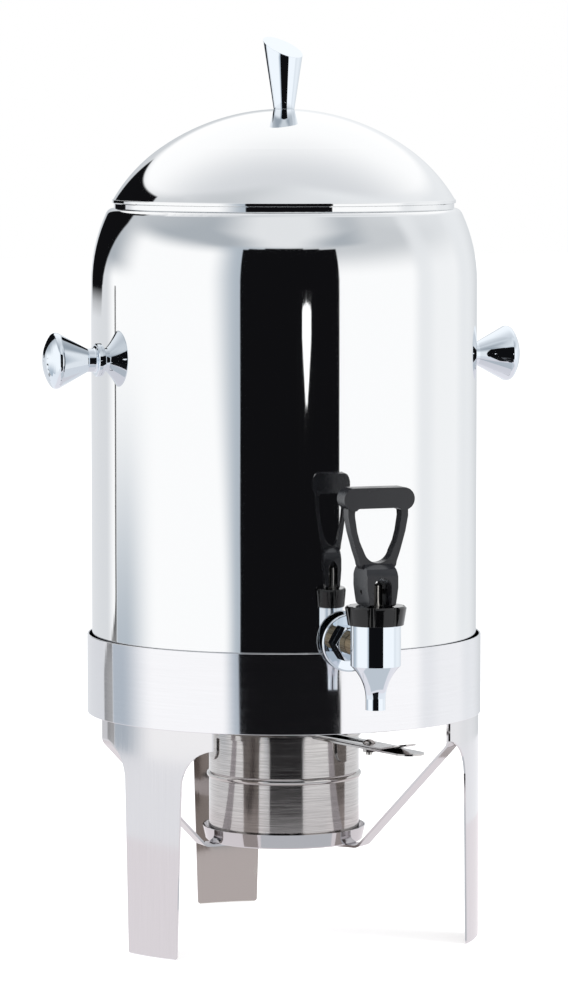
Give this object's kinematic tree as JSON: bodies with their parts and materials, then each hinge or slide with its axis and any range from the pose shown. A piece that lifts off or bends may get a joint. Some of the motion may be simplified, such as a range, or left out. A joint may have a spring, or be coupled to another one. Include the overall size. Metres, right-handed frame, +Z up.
{
  "type": "coffee urn",
  "caption": "Domed stainless coffee urn with a lift-off lid, side knobs and a spring-closed lever tap, standing in a legged stand over a fuel cup with a swinging damper.",
  "frame": {"origin": "the vessel's axis on the table, in the plane of the three feet", "axes": "+Z up along the vessel's axis; the tap points along -Y; the side knobs lie along +X and -X"},
  "size_m": [0.315, 0.3221, 0.5698],
  "materials": {
    "mirror_steel": "mirror-polished stainless steel",
    "satin_steel": "bright rolled stainless steel sheet",
    "brushed_steel": "stainless steel brushed round the cup",
    "chromed_brass": "polished chrome plating on a brass casting",
    "screw_steel": "turned stainless steel",
    "bare_brass": "bare turned brass",
    "black_plastic": "moulded satin black phenolic",
    "silicone": "moulded silicone rubber"
  },
  "bodies": {
    "stand": {"stand_band": "mirror_steel", "leg_front_left": "satin_steel", "leg_front_right": "satin_steel", "leg_rear": "satin_steel", "support_ring": "satin_steel", "burner_bracket": "satin_steel", "burner_tray": "satin_steel"},
    "fuel_holder": {"fuel_cup": "brushed_steel", "cup_cover": "brushed_steel", "damper_screw": "screw_steel", "damper_nut": "screw_steel"},
    "damper": {"damper_plate": "brushed_steel"},
    "urn": {"vessel_shell": "mirror_steel", "vessel_base_pan": "mirror_steel", "side_knob_left": "mirror_steel", "side_knob_right": "mirror_steel", "side_knob_collars": "mirror_steel", "side_knob_screws": "screw_steel", "side_knob_washers": "screw_steel", "tap_escutcheon": "chromed_brass", "tap_outer_seal": "silicone", "tap_lock_nut": "chromed_brass", "tap_shank": "bare_brass", "tap_inner_seal": "silicone", "tap_inner_nut": "bare_brass", "tap_valve_body": "chromed_brass", "tap_bonnet": "black_plastic", "tap_spring": "screw_steel"},
    "lid": {"lid_dome": "mirror_steel", "lid_locating_rim": "mirror_steel", "lid_knob": "mirror_steel", "lid_knob_screw": "screw_steel", "lid_knob_washer": "screw_steel"},
    "tap_stem": {"tap_stem": "screw_steel", "tap_seat_cup": "silicone"},
    "tap_lever": {"tap_lever": "black_plastic", "tap_lever_pin": "screw_steel"}
  },
  "joints": [
    {"name": "urn_lift", "type": "slide", "parent": "stand", "child": "urn", "axis": [0, 0, 1], "range_m": [0, 0.06]},
    {"name": "lid_lift", "type": "slide", "parent": "urn", "child": "lid", "axis": [0, 0, 1], "range_m": [0, 0.12]},
    {"name": "holder_lift", "type": "slide", "parent": "stand", "child": "fuel_holder", "axis": [0, 0, 1], "range_m": [0, 0.0081]},
    {"name": "damper_swing", "type": "hinge", "parent": "fuel_holder", "child": "damper", "pos_m": [0.0251, -0.0937, 0.1321], "axis": [0, 0, -1], "range_deg": [0, 32]},
    {"name": "stem_lift", "type": "slide", "parent": "urn", "child": "tap_stem", "axis": [0, 0, 1], "range_m": [0, 0.0041], "deforming": ["tap_spring"]},
    {"name": "lever_tilt", "type": "hinge", "parent": "tap_stem", "child": "tap_lever", "pos_m": [0, -0.1785, 0.236], "axis": [1, 0, 0], "range_deg": [0, 30], "stiffness_Nm_per_rad": 0.6, "springref_deg": -8.59}
  ],
  "couplings": [
    {"joint": "stem_lift", "follows": "lever_tilt", "m_per_rad": 0.0078}
  ]
}
